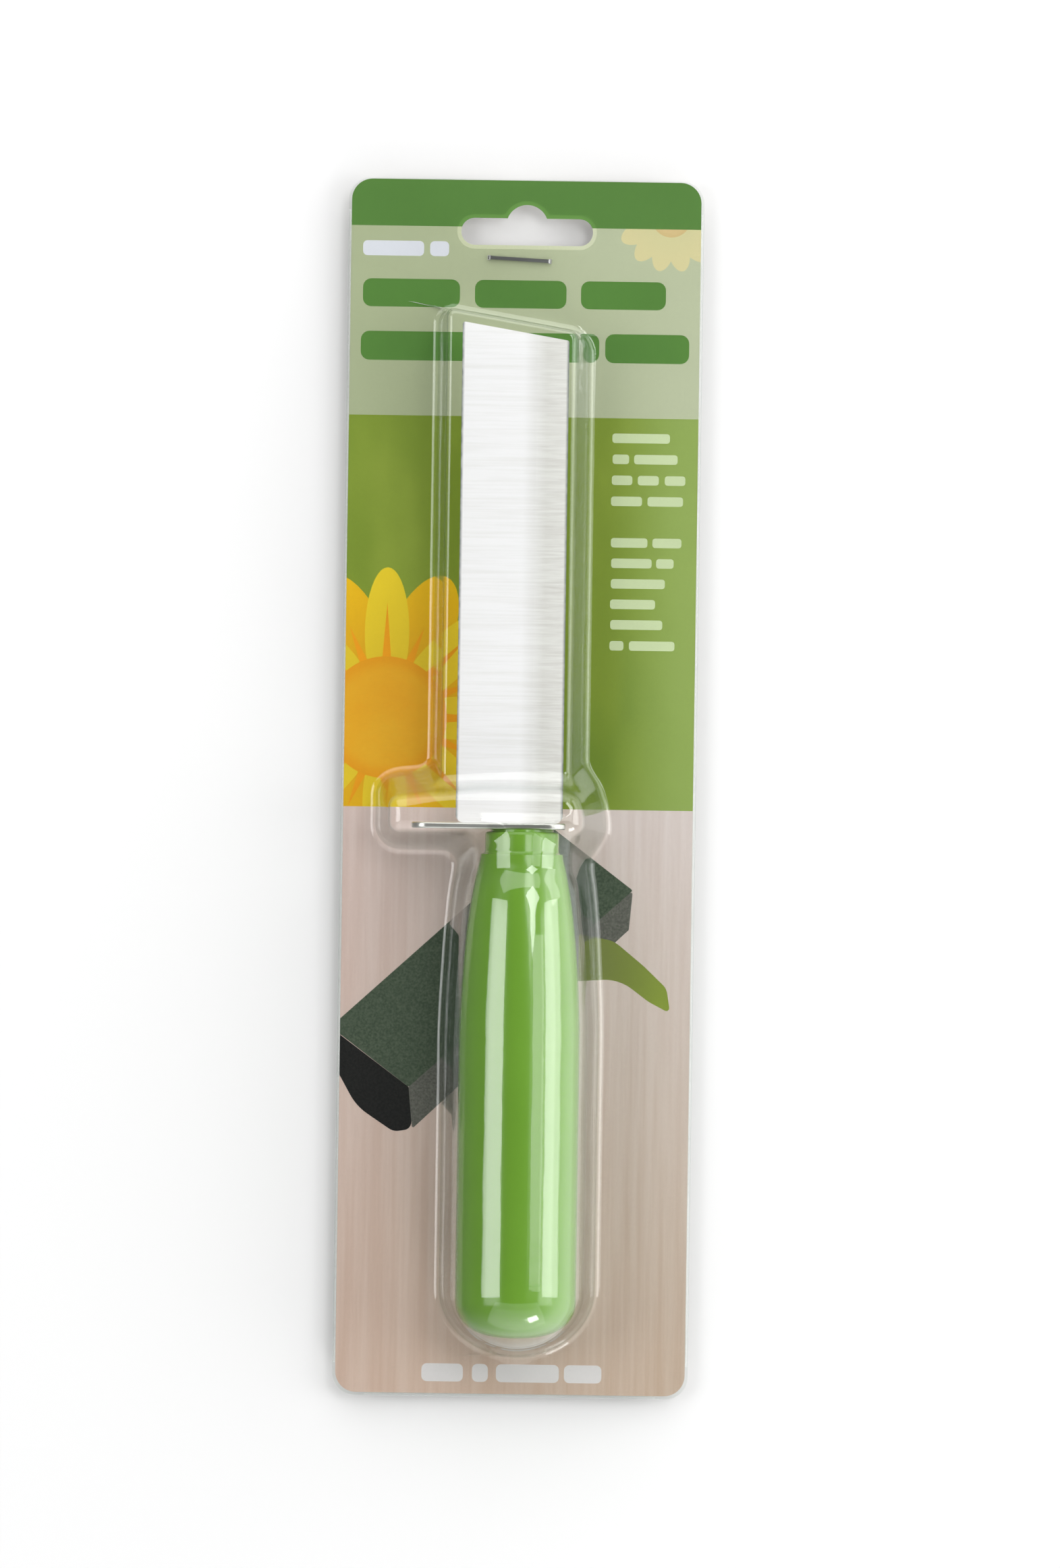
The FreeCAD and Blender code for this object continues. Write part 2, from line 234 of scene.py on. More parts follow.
def triangulate(outlines):
    """Splits the plane along closed outlines. Gives points and anticlockwise triangles."""
    points = []
    edges = []
    for outline in outlines:
        first = len(points)
        count = len(outline)
        points += [Vector((float(x), float(y))) for x, y in outline]
        edges += [(first + i, first + (i + 1) % count) for i in range(count)]
    result = delaunay_2d_cdt(points, edges, [], 0, 1e-5)
    flat = np.array([(p.x, p.y) for p in result[0]])
    triangles = []
    for a, b, c in result[2]:
        ab = flat[b] - flat[a]
        ac = flat[c] - flat[a]
        triangles.append((a, b, c) if ab[0] * ac[1] - ab[1] * ac[0] > 0 else (a, c, b))
    return flat, triangles


# ---------------------------------------------------------------- materials

PRINT_GAIN = 1.04           # makes up for the light that the clear sheet keeps from the print
PRINT_GRAIN = 0.07
BLACK = (0.0, 0.0, 0.0, 1.0)
WHITE = (1.0, 1.0, 1.0, 1.0)


def srgb(red, green, blue):
    """A linear colour from display values of 0 to 255."""
    values = []
    for value in (red, green, blue):
        value /= 255
        values.append(value / 12.92 if value <= 0.04045 else ((value + 0.055) / 1.055) ** 2.4)
    return (*values, 1.0)


class Graph:
    """A short way to build a material's nodes."""

    def __init__(self, name):
        self.material = bpy.data.materials.new(name)
        self.material.use_nodes = True
        self.tree = self.material.node_tree
        self.tree.nodes.clear()
        self.output = self.add("ShaderNodeOutputMaterial")
        self.place = self.add("ShaderNodeTexCoord").outputs["Object"]

    def add(self, kind, inputs=None, **settings):
        node = self.tree.nodes.new(kind)
        for key, value in settings.items():
            setattr(node, key, value)
        for key, value in (inputs or {}).items():
            if isinstance(value, bpy.types.NodeSocket):
                self.tree.links.new(value, node.inputs[key])
            else:
                node.inputs[key].default_value = value
        return node

    def math(self, operation, a, b=0.0, clamp=False):
        return self.add("ShaderNodeMath", {0: a, 1: b}, operation=operation, use_clamp=clamp).outputs[0]

    def stretched(self, scale, turn=0.0):
        """Coordinates scaled along X, Y and Z, after a turn about Z."""
        mapping = self.add("ShaderNodeMapping", {"Vector": self.place})
        mapping.inputs["Rotation"].default_value = (0, 0, turn)
        mapping.inputs["Scale"].default_value = scale
        return mapping.outputs[0]

    def noise(self, scale, detail=2.0, roughness=0.5, vector=None):
        values = {"Vector": vector or self.place, "Scale": scale}
        values["Detail"] = detail
        values["Roughness"] = roughness
        return self.add("ShaderNodeTexNoise", values).outputs["Fac"]

    def ramp(self, factor, stops, smooth=False):
        node = self.add("ShaderNodeValToRGB", {"Fac": factor})
        if smooth:
            node.color_ramp.interpolation = "EASE"
        elements = node.color_ramp.elements
        while len(elements) < len(stops):
            elements.new(0.5)
        for element, (position, colour) in zip(elements, stops):
            element.position = position
            element.color = colour
        return node.outputs["Color"]

    def mix(self, factor, a, b, blend="MIX"):
        node = self.add("ShaderNodeMix", data_type="RGBA", blend_type=blend)
        for socket, value in ((node.inputs[0], factor), (node.inputs[6], a), (node.inputs[7], b)):
            if isinstance(value, bpy.types.NodeSocket):
                self.tree.links.new(value, socket)
            else:
                socket.default_value = value
        return node.outputs[2]

    def spread(self, factor, low, high):
        """Turns a factor of 0 to 1 into a value from low to high."""
        values = {"Value": factor, "To Min": low, "To Max": high}
        return self.add("ShaderNodeMapRange", values).outputs[0]

    def distance(self, point, stretch=(1, 1, 1)):
        """Distance in millimetres from a point given in millimetres."""
        shift = self.add("ShaderNodeVectorMath", {0: self.place}, operation="SUBTRACT")
        shift.inputs[1].default_value = [v * MM for v in point]
        scaled = self.add("ShaderNodeVectorMath", {0: shift.outputs[0]}, operation="MULTIPLY")
        scaled.inputs[1].default_value = [v / MM for v in stretch]
        length = self.add("ShaderNodeVectorMath", {0: scaled.outputs[0]}, operation="LENGTH")
        return length.outputs["Value"]

    def along(self, axis, low, high):
        """0 to 1 between two places in millimetres along an axis."""
        split = self.add("ShaderNodeSeparateXYZ", {0: self.place})
        values = {"Value": split.outputs[axis], "From Min": low * MM, "From Max": high * MM}
        return self.add("ShaderNodeMapRange", values).outputs[0]

    def bump(self, height, strength, distance):
        values = {"Height": height, "Strength": strength, "Distance": distance}
        return self.add("ShaderNodeBump", values).outputs[0]

    def finish(self, shader):
        self.tree.links.new(shader.outputs[0], self.output.inputs["Surface"])
        return self.material


def clear_sheet():
    """Clear formed sheet: see-through face on, shiny at a glance, faintly uneven."""
    g = Graph("clear_sheet")
    waves = g.noise(55, 1.5)
    fine = g.noise(420, 2)
    height = g.math("ADD", waves, g.math("MULTIPLY", fine, 0.05))
    normal = g.bump(height, 0.5, 0.00045)
    gloss = g.add("ShaderNodeBsdfGlossy", {"Color": WHITE, "Roughness": 0.045, "Normal": normal})
    # Schlick's share of reflected light, the same from both sides of each face
    glance = g.add("ShaderNodeLayerWeight", {"Blend": 0.5, "Normal": normal}).outputs["Facing"]
    share = g.math("MULTIPLY", g.math("POWER", glance, 5.0), 1 - HEAD_ON)
    tint = g.mix(g.math("POWER", glance, 3.0), srgb(253, 254, 253), srgb(196, 203, 200))
    clear = g.add("ShaderNodeBsdfTransparent", {"Color": tint})
    share = g.math("ADD", share, HEAD_ON)
    mixed = g.add("ShaderNodeMixShader", {0: share, 1: clear.outputs[0], 2: gloss.outputs[0]})
    return g.finish(mixed)


def board():
    """Unprinted pale board, with paper fibres."""
    g = Graph("board")
    fibres = g.noise(900, 5, 0.65, g.stretched((1, 0.35, 1), 0.3))
    clouds = g.noise(60, 2)
    colour = g.ramp(fibres, [(0.3, srgb(206, 202, 192)), (0.7, srgb(228, 225, 217))])
    colour = g.mix(g.math("MULTIPLY", clouds, 0.25), colour, srgb(190, 185, 174))
    values = {"Base Color": colour, "Roughness": g.spread(clouds, 0.7, 0.85)}
    shader = g.add("ShaderNodeBsdfPrincipled", values)
    g.tree.links.new(g.bump(fibres, 0.3, 0.00006), shader.inputs["Normal"])
    return g.finish(shader)


def ink(g, colour, roughness=0.42):
    """Varnished print of a given colour, with a faint grain."""
    grain = g.noise(2600, 2, 0.6)
    clouds = g.noise(38, 2)
    shade = g.spread(grain, PRINT_GAIN - PRINT_GRAIN, PRINT_GAIN + PRINT_GRAIN)
    grey = g.add("ShaderNodeCombineColor", {0: shade, 1: shade, 2: shade}).outputs[0]
    colour = g.mix(1.0, colour, grey, "MULTIPLY")
    values = {"Base Color": colour, "Roughness": g.spread(clouds, roughness - 0.06, roughness + 0.06)}
    shader = g.add("ShaderNodeBsdfPrincipled", values)
    shader.inputs["Specular IOR Level"].default_value = 0.35
    g.tree.links.new(g.bump(grain, 0.12, 0.00002), shader.inputs["Normal"])
    return g.finish(shader)


def plain_ink(name, colour, spread=0.06):
    """Flat print with slow, slight changes of tone."""
    g = Graph(name)
    tone = g.noise(30, 3)
    low = tuple(c * (1 - spread) for c in colour[:3]) + (1,)
    high = tuple(min(c * (1 + spread), 1) for c in colour[:3]) + (1,)
    return ink(g, g.ramp(tone, [(0.35, low), (0.65, high)]))


def olive_ink():
    """The title band: soft olive, paler to the right."""
    g = Graph("olive_ink")
    across = g.along("X", CARD_LOW[0], CARD_HIGH[0])
    tone = g.math("ADD", across, g.math("MULTIPLY", g.math("SUBTRACT", g.noise(26, 3), 0.5), 0.7))
    return ink(g, g.ramp(tone, [(0.1, srgb(175, 182, 148)), (0.9, srgb(188, 193, 164))]))


def field_ink():
    """The green field: an out-of-focus lawn, mottled, lighter at the right."""
    g = Graph("field_ink")
    across = g.along("X", CARD_LOW[0], CARD_HIGH[0])
    blur = g.noise(34, 3, 0.55, g.stretched((1, 0.45, 1), 0.15))
    lawn = [(0.3, srgb(112, 138, 44)), (0.5, srgb(129, 150, 49)), (0.72, srgb(147, 165, 62))]
    base = g.ramp(blur, lawn, True)
    edge = g.ramp(across, [(0.72, BLACK), (0.98, WHITE)], True)
    pale = g.mix(blur, srgb(140, 163, 80), srgb(156, 176, 98))
    return ink(g, g.mix(edge, base, pale))


def wood_ink():
    """The picture's table top: pale wood with fine upright grain, warmer towards the bottom."""
    g = Graph("wood_ink")
    grain = g.noise(620, 4, 0.6, g.stretched((1, 0.03, 1)))
    figure = g.noise(110, 3, 0.55, g.stretched((1, 0.12, 1), 0.04))
    across = g.along("X", CARD_LOW[0], CARD_HIGH[0])
    down = g.along("Y", CARD_LOW[1], PICTURE_TOP)
    top = g.mix(across, srgb(229, 205, 202), srgb(223, 212, 213))
    low = g.mix(across, srgb(210, 180, 164), srgb(198, 174, 152))
    base = g.mix(down, low, top)
    base = g.mix(g.math("MULTIPLY", figure, 0.3), base, srgb(196, 170, 158))
    fine = g.ramp(grain, [(0.35, srgb(192, 166, 154)), (0.62, srgb(230, 217, 212))])
    return ink(g, g.mix(0.22, base, fine))


def foam_ink(name, dark, light):
    """A face of the pictured foam: fine open grain."""
    g = Graph(name)
    pores = g.noise(2100, 4, 0.7)
    clouds = g.noise(70, 3)
    colour = g.ramp(pores, [(0.38, dark), (0.62, light)])
    colour = g.mix(g.math("MULTIPLY", clouds, 0.4), colour, dark)
    return ink(g, colour, 0.5)


def petal_ink(name, base, tip, centre, near, far):
    """A colour that changes from base to tip with the distance from a point on the card."""
    g = Graph(name)
    past_near = g.math("SUBTRACT", g.distance((*centre, CARD_HIGH[2])), near)
    reach = g.math("DIVIDE", past_near, far - near, True)
    veins = g.noise(320, 2, 0.5)
    colour = g.mix(reach, base, tip)
    colour = g.mix(g.math("MULTIPLY", veins, 0.22), colour, base)
    return ink(g, colour)


def disc_ink(name, middle, rim, centre, radius):
    """A flower's centre: soft seeds, and a darker rim."""
    g = Graph(name)
    reach = g.math("DIVIDE", g.distance((*centre, CARD_HIGH[2])), radius, True)
    cells = g.add("ShaderNodeTexVoronoi", {"Vector": g.place, "Scale": 620}).outputs["Distance"]
    clouds = g.noise(95, 3)
    colour = g.mix(g.math("MULTIPLY", clouds, 0.8), middle, rim)
    colour = g.mix(g.math("MULTIPLY", cells, 0.25), colour, rim)
    edge = g.ramp(reach, [(0.72, BLACK), (1.0, WHITE)], True)
    return ink(g, g.mix(edge, colour, rim))


def ground_steel():
    """The blade: bright steel, ground across its width, with denser marks by the bevel and painted
    shade along both long edges.
    """
    g = Graph("ground_steel")
    lines = g.noise(2600, 3, 0.65, g.stretched((0.02, 1, 1), 0.01))
    coarse = g.noise(700, 2, 0.6, g.stretched((0.05, 1, 1), -0.02))
    clouds = g.noise(45, 2)
    marks = g.math("ADD", g.math("MULTIPLY", lines, 0.6), g.math("MULTIPLY", coarse, 0.4))
    bevel = BLADE_HIGH[0] - BEVEL_WIDTH
    across = g.along("X", bevel - BEVEL_FADE[0], bevel + BEVEL_FADE[1])
    across = g.math("MULTIPLY", across, g.spread(coarse, 0.6, 1.1), True)
    bright = g.ramp(marks, [(0.36, srgb(247, 243, 245)), (0.55, srgb(255, 251, 255))])
    dull = g.ramp(marks, [(0.36, srgb(204, 199, 195)), (0.6, srgb(228, 225, 222))])
    colour = g.mix(across, bright, dull)
    # painted shade: the narrow ground edges on both sides are darkened to grey in the colour, where
    # they fall into shade
    left_edge_shade = g.along("X", BLADE_LOW[0] + BLADE_EDGE_SHADE_WIDTH, BLADE_LOW[0])
    right_edge_shade = g.along("X", BLADE_HIGH[0] - BLADE_EDGE_SHADE_WIDTH, BLADE_HIGH[0])
    rim = g.math("MULTIPLY", g.math("MAXIMUM", left_edge_shade, right_edge_shade), g.spread(coarse, 0.5, 1.5), True)
    colour = g.mix(rim, colour, srgb(120, 124, 124))
    values = {"Base Color": colour, "Roughness": g.spread(clouds, 0.38, 0.46)}
    shader = g.add("ShaderNodeBsdfPrincipled", values)
    shader.inputs["Metallic"].default_value = 0.1
    g.tree.links.new(g.bump(marks, 0.25, 0.00003), shader.inputs["Normal"])
    return g.finish(shader)


def drawn_steel(name, colour, roughness):
    """Plain steel for the guard and the staple, with rolling marks and slight tarnish."""
    g = Graph(name)
    lines = g.noise(1500, 3, 0.6, g.stretched((0.06, 1, 1)))
    spots = g.noise(260, 4, 0.6)
    dark = tuple(c * 0.55 for c in colour[:3]) + (1,)
    tarnish = g.ramp(spots, [(0.55, BLACK), (0.75, srgb(200, 200, 200))])
    tint = g.mix(tarnish, colour, dark)
    values = {"Base Color": tint, "Roughness": g.spread(lines, roughness - 0.08, roughness + 0.08)}
    shader = g.add("ShaderNodeBsdfPrincipled", values)
    shader.inputs["Metallic"].default_value = 1.0
    g.tree.links.new(g.bump(lines, 0.2, 0.00003), shader.inputs["Normal"])
    return g.finish(shader)


def handle_green():
    """The handle: smooth glossy green paint with a faint orange-peel surface."""
    g = Graph("handle_green")
    peel = g.noise(240, 3, 0.5)
    slow = g.noise(22, 2)
    specks = g.noise(1900, 2)
    colour = g.ramp(slow, [(0.3, srgb(108, 154, 50)), (0.7, srgb(118, 164, 58))])
    speck = g.ramp(specks, [(0.68, BLACK), (0.8, srgb(60, 60, 60))])
    colour = g.mix(speck, colour, srgb(70, 112, 36))
    values = {"Base Color": colour, "Roughness": g.spread(slow, 0.16, 0.24)}
    shader = g.add("ShaderNodeBsdfPrincipled", values)
    shader.inputs["Coat Weight"].default_value = 0.38
    shader.inputs["Coat Roughness"].default_value = 0.05
    g.tree.links.new(g.bump(peel, 0.12, 0.00008), shader.inputs["Normal"])
    return g.finish(shader)


def floor_paint():
    g = Graph("floor_paint")
    clouds = g.noise(3, 2)
    colour = g.ramp(clouds, [(0.3, (0.79, 0.79, 0.79, 1)), (0.7, (0.81, 0.81, 0.81, 1))])
    shader = g.add("ShaderNodeBsdfPrincipled", {"Base Color": colour})
    shader.inputs["Roughness"].default_value = 0.9
    shader.inputs["Specular IOR Level"].default_value = 0.1
    return g.finish(shader)


# ---------------------------------------------------------------- the clear blister

# outlines over the outside of the sheet, at its face and at each bubble's roof
CHANNEL_FACE = [(-17.4, -3.0), (13.2, -3.0), (13.2, 90.9), (-17.4, 96.1)]
CHANNEL_ROOF = [(-15.4, -3.0), (10.5, -3.0), (10.5, 91.13), (-15.4, 95.45)]
CHANNEL_TOP = 15.6
CHANNEL_CORNERS = (3.5, 1.8)  # corner radii at the face and at the roof
POCKET_FACE = [
    (-28.6, -12.6),
    (17.9, -12.6),
    (17.9, 0.3),
    (13.4, 5.2),
    (-18.5, 5.4),
    (-28.6, 2.8),
]
POCKET_ROOF = [
    (-25.3, -8.7),
    (12.8, -8.7),
    (12.8, -3.2),
    (10.6, -0.6),
    (-15.2, -0.6),
    (-25.3, -1.6),
]
POCKET_CORNERS = (5.0, 1.8)
POCKET_TOP = 21.6
POCKET_RIDGE = 2.6          # outside radius of the pocket's roof edges
BUBBLE_X = 1.12
BUBBLE_START = -7.2
# half widths of the handle's bubble, along Y: (y, at the knife's height, at the face)
BUBBLE_WIDTHS = [
    (-12.0, 10.3, 13.4),
    (-16.0, 10.3, 13.4),
    (-19.5, 11.4, 13.9),
    (-26.5, 12.35, 14.6),
    (-36.0, 13.1, 15.2),
    (-48.0, 13.6, 15.7),
    (-60.0, 13.6, 15.7),
]
BUBBLE_CREST = smooth_curve([(y, crest) for y, crest, _ in BUBBLE_WIDTHS])
BUBBLE_FOOT = smooth_curve([(y, foot) for y, _, foot in BUBBLE_WIDTHS])
BUBBLE_STRAIGHT_END = -99.9
BUBBLE_END_STRETCH = 1.14
SHEET_CREASE = math.radians(38)  # bends sharper than this are shaded as edges
RIDGE = 1.2                 # outside radius of the channel's roof edges
HOLLOW = 1.2                # radius where the bubbles meet the face
VALLEY = 3.2                # radius where the bubbles meet each other

# the grid that the bubbles are drawn on
FORM_LEFT, FORM_RIGHT = -31.9, 20.4
FORM_BOTTOM, FORM_TOP = -116.2, 98.9
FORM_ROWS = 170
FORM_COLUMNS = 200
ROW_SAMPLES = 1500
COLUMN_SAMPLES = 1400
SAMPLED_LINES = 40
HALVINGS = 26
# how much flat run and bends count, against climb, in spacing the rows and columns
ROW_RUN, ROW_BEND = 0.3, 1.6
COLUMN_RUN, COLUMN_BEND = 0.6, 3.0
CLIMB_LIMIT = 0.4           # the most that one sample's climb counts
ROW_SMOOTHING = 9
TIP_SLOPE = -0.169          # how far the rows turn at the blade's tip
SLANT_START = 60.0          # where they begin to turn
SLANT_RUN = 28.0


def rounded_max(a, b, radius):
    """Where two surfaces meet in a rounded outer edge."""
    edge = np.hypot(np.maximum(a + radius, 0), np.maximum(b + radius, 0))
    return np.minimum(-radius, np.maximum(a, b)) + edge


def rounded_min(a, b, radius):
    """Where two surfaces meet in a rounded hollow."""
    hollow = np.hypot(np.maximum(radius - a, 0), np.maximum(radius - b, 0))
    return np.maximum(radius, np.minimum(a, b)) - hollow


def drafted_plug(face, roof, top, corners, ridge, x, y, z):
    """Distance to a flat-topped bubble. Its sides lean in from the face to the roof outline."""
    face = np.array(face)
    roof = np.array(roof)
    height = top - FACE_TOP
    rise = (z - FACE_TOP) / height
    corner = corners[0] + (corners[1] - corners[0]) * rise
    shape = None
    for i in range(len(face)):
        j = (i + 1) % len(face)
        along = (face[j] - face[i]) + (roof[j] - roof[i])
        normal = np.array([along[1], -along[0]]) / np.linalg.norm(along)
        shift = roof[i] - face[i]
        lean = (shift @ normal) / height
        out_x = (x - face[i][0] - shift[0] * rise) * normal[0]
        out_y = (y - face[i][1] - shift[1] * rise) * normal[1]
        side = (out_x + out_y) / math.sqrt(1 + lean**2)
        shape = side if shape is None else rounded_max(shape, side, corner)
    return rounded_max(shape, z - top, ridge)


def handle_bubble(x, y, z):
    """Distance to the handle's bubble: drafted walls, a half-round top and a domed end."""
    past_end = np.maximum(BUBBLE_STRAIGHT_END - y, 0) * BUBBLE_END_STRETCH
    reach = np.hypot(x - BUBBLE_X, past_end)
    crest = BUBBLE_CREST(y)
    foot = BUBBLE_FOOT(y)
    drop = AXIS_Z - FACE_TOP
    lean = np.arccos(crest / np.hypot(foot, drop)) - np.arctan2(drop, foot)
    wall = reach * np.cos(lean) + (z - AXIS_Z) * np.sin(lean) - crest
    dome = np.hypot(reach, z - AXIS_Z) - crest
    above = np.arctan2(z - AXIS_Z, reach) > lean
    return np.maximum(np.where(above, dome, wall), y - BUBBLE_START)


def formed_sheet(x, y, z):
    """Distance to the outside of the clear sheet: below zero inside it."""
    channel = drafted_plug(CHANNEL_FACE, CHANNEL_ROOF, CHANNEL_TOP, CHANNEL_CORNERS, RIDGE, x, y, z)
    pocket = drafted_plug(POCKET_FACE, POCKET_ROOF, POCKET_TOP, POCKET_CORNERS, POCKET_RIDGE, x, y, z)
    bubbles = rounded_min(rounded_min(channel, pocket, VALLEY), handle_bubble(x, y, z), VALLEY)
    return rounded_min(bubbles, z - FACE_TOP, HOLLOW)


def sheet_height(x, y):
    """The sheet's height over each point, by halving."""
    low = np.full(np.shape(x), FACE_TOP - 0.01)
    high = np.full(np.shape(x), SHELL_HIGH[2] + 1)
    for _ in range(HALVINGS):
        middle = (low + high) / 2
        under = formed_sheet(x, y, middle) < 0
        low = np.where(under, middle, low)
        high = np.where(under, high, middle)
    return (low + high) / 2


def sheet_normals(points):
    """Which way the sheet faces at each point, from slopes over a small step."""
    step = 0.01
    x, y, z = points.T
    slopes = [
        formed_sheet(x + step, y, z) - formed_sheet(x - step, y, z),
        formed_sheet(x, y + step, z) - formed_sheet(x, y - step, z),
        formed_sheet(x, y, z + step) - formed_sheet(x, y, z - step),
    ]
    normals = np.stack(slopes, axis=1)
    return normals / np.linalg.norm(normals, axis=1)[:, None]


def share_out(place, height, count):
    """Places along a profile, closer together where it is steep or bends."""
    run = np.diff(place)
    climb = np.diff(height)
    angle = np.arctan2(climb, run)
    turn = np.abs(np.diff(angle, prepend=angle[0]))
    weight = np.cumsum(np.hypot(run * COLUMN_RUN, climb) + COLUMN_BEND * turn)
    weight = np.concatenate([[0], weight])
    return np.interp(np.linspace(0, weight[-1], count), weight, place)


def row_slant(s):
    """Rows lie square to the pack, and turn parallel to the blade's tip near it."""
    t = np.clip((s - SLANT_START) / SLANT_RUN, 0, 1)
    return TIP_SLOPE * t * t * (3 - 2 * t)


def formed_rows():
    """Where the rows of the formed surface lie: closer where it changes fast along the pack."""
    s = np.linspace(FORM_BOTTOM, FORM_TOP, ROW_SAMPLES)
    total = np.zeros(len(s) - 1)
    for x in np.linspace(FORM_LEFT, FORM_RIGHT, SAMPLED_LINES):
        height = sheet_height(np.full_like(s, x), s + row_slant(s) * (x - AXIS_X))
        angle = np.arctan2(np.diff(height), np.diff(s))
        turn = np.abs(np.diff(angle, prepend=angle[0]))
        climb = np.minimum(np.abs(np.diff(height)), CLIMB_LIMIT)
        total = np.maximum(total, np.hypot(ROW_RUN * np.diff(s), climb) + ROW_BEND * turn)
    total = np.convolve(total, np.ones(ROW_SMOOTHING) / ROW_SMOOTHING, mode="same")
    weight = np.concatenate([[0], np.cumsum(total)])
    return np.interp(np.linspace(0, weight[-1], FORM_ROWS), weight, s)


def formed_surface():
    """The bubbles and the face close round them, as a grid that is finest at the bends."""
    rows = []
    dense = np.linspace(FORM_LEFT, FORM_RIGHT, COLUMN_SAMPLES)
    for s in formed_rows():
        y = s + row_slant(s) * (dense - AXIS_X)
        x = share_out(dense, sheet_height(dense, y), FORM_COLUMNS)
        y = s + row_slant(s) * (x - AXIS_X)
        rows.append(np.stack([x, y, sheet_height(x, y)], axis=1))
    points = np.concatenate(rows)
    points[np.abs(points[:, 2] - FACE_TOP) < 1e-3, 2] = FACE_TOP
    faces = []
    for i in range(FORM_ROWS - 1):
        for j in range(FORM_COLUMNS - 1):
            a = i * FORM_COLUMNS + j
            faces.append((a, a + 1, a + 1 + FORM_COLUMNS, a + FORM_COLUMNS))
    index = np.arange(FORM_ROWS * FORM_COLUMNS).reshape(FORM_ROWS, FORM_COLUMNS)
    rim = np.concatenate([index[0, :-1], index[:-1, -1], index[-1, :0:-1], index[:0:-1, 0]])
    return points, sheet_normals(points), faces, points[rim, :2]


def fold_zones():
    """Where the sheet's edges are folded: on both sides and at the bottom."""
    left, bottom = SHELL_LOW[:2]
    right, top = SHELL_HIGH[:2]
    ends = (bottom + FOLD_SHORT, top - FOLD_SHORT)
    return [
        rectangle(left - PAST_EDGE, ends[0], left + FOLD_BEND, ends[1]),
        rectangle(right - FOLD_BEND, ends[0], right + PAST_EDGE, ends[1]),
        rectangle(left + FOLD_SHORT, bottom - PAST_EDGE, right - FOLD_SHORT, bottom + FOLD_BEND),
    ]


def flat_face(hole):
    """The sheet's flat face, round the formed part and up to the folds."""
    sheet = rounded(rectangle(*SHELL_LOW[:2], *SHELL_HIGH[:2]), SHEET_CORNER)
    holes = [hole, slot_outline(SLOT_SHEET_GROW), *staple_hole_outlines(), *fold_zones()]
    flat, triangles = triangulate([sheet, *holes])
    centres = flat[np.array(triangles)].mean(axis=1)
    kept = inside(centres, sheet)
    for outline in holes:
        kept &= ~inside(centres, np.array(outline))
    faces = [triangles[i] for i in np.flatnonzero(kept)]
    points = np.column_stack([flat, np.full(len(flat), FACE_TOP)])
    return points, np.tile([0.0, 0, 1], (len(points), 1)), faces


def fold_strip(start, end, inward):
    """One edge folded round behind the card, along a line at the pack's edge."""
    section = []
    for centre_z, first in ((FACE_TOP - FOLD_BEND, 0), (FOLD_BEND, 90)):
        for k in range(FOLD_STEPS + 1):
            angle = math.radians(first + 90 / FOLD_STEPS * k)
            out = (-math.sin(angle), math.cos(angle))
            section.append((FOLD_BEND + FOLD_BEND * out[0], centre_z + FOLD_BEND * out[1], out))
    section.append((FOLD_DEPTH, 0.0, (0.0, -1.0)))
    points = []
    normals = []
    inward = np.array(inward, float)
    for end_point in (start, end):
        for depth, z, out in section:
            points.append((*(np.array(end_point) + inward * depth), z))
            normals.append((*(inward * out[0]), out[1]))
    count = len(section)
    faces = [(i, i + 1, i + 1 + count, i + count) for i in range(count - 1)]
    return np.array(points), np.array(normals), faces


def fold_strips():
    left, bottom = SHELL_LOW[:2]
    right, top = SHELL_HIGH[:2]
    return [
        fold_strip((left, bottom + FOLD_SHORT), (left, top - FOLD_SHORT), (1, 0)),
        fold_strip((right, top - FOLD_SHORT), (right, bottom + FOLD_SHORT), (-1, 0)),
        fold_strip((right - FOLD_SHORT, bottom), (left + FOLD_SHORT, bottom), (0, 1)),
    ]


def joined(parts):
    """Several surfaces as one, sharing the points that they have in common."""
    points = np.concatenate([part[0] for part in parts])
    normals = np.concatenate([part[1] for part in parts])
    faces = []
    first = 0
    for part in parts:
        faces += [tuple(i + first for i in face) for face in part[2]]
        first += len(part[0])
    _, kept, places = np.unique(np.round(points, 4), axis=0, return_index=True, return_inverse=True)
    places = places.ravel()
    used = sorted({int(places[i]) for face in faces for i in face})
    order = {place: i for i, place in enumerate(used)}
    faces = [tuple(order[int(places[i])] for i in face) for face in faces]
    kept = kept[used]
    return points[kept], normals[kept], faces


def clear_blister():
    """The clear sheet: its bubbles, flat face, cut-outs and folded edges."""
    points, normals, faces, rim = formed_surface()
    surface = joined([(points, normals, faces), flat_face(rim), *fold_strips()])
    points, faces = thicken(*surface, SHEET)
    blister = make_object("clear_blister", points, faces, [clear_sheet()])
    blister.data.set_sharp_from_angle(angle=SHEET_CREASE)
    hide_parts("blister_shell")
    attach(blister, "pack")


# ---------------------------------------------------------------- the card's print

PICTURE_TOP = -4.05
FIELD_TOP = 74.3
OLIVE_TOP = 112.2
PRINT_LIFT = 0.004
PRINT_THICKNESS = 0.014

FLOWER = (-26.7, 13.85)
FLOWER_DISC = 12.2
FLOWER_PETALS = 16
PALE_FLOWER = (29.0, 114.6)
PALE_DISC = 4.0
PALE_PETALS = 14
# a petal's nearest and farthest reach from its flower's centre, and its half width
PETAL_BEHIND = (2.0, 30.6, 6.4)
PETAL_FRONT = (4.0, 30.0, 4.45)
PALE_PETAL = (2.5, 11.0, 2.15)
STREAK_START = 11.0
STREAK_ENDS = (23.0, 19.5)
STREAK_HALF_WIDTH = 0.95
# a petal's ink changes between these distances from its flower's centre
PETAL_FADE = (12.0, 30.0)
PALE_FADE = (4.0, 11.0)

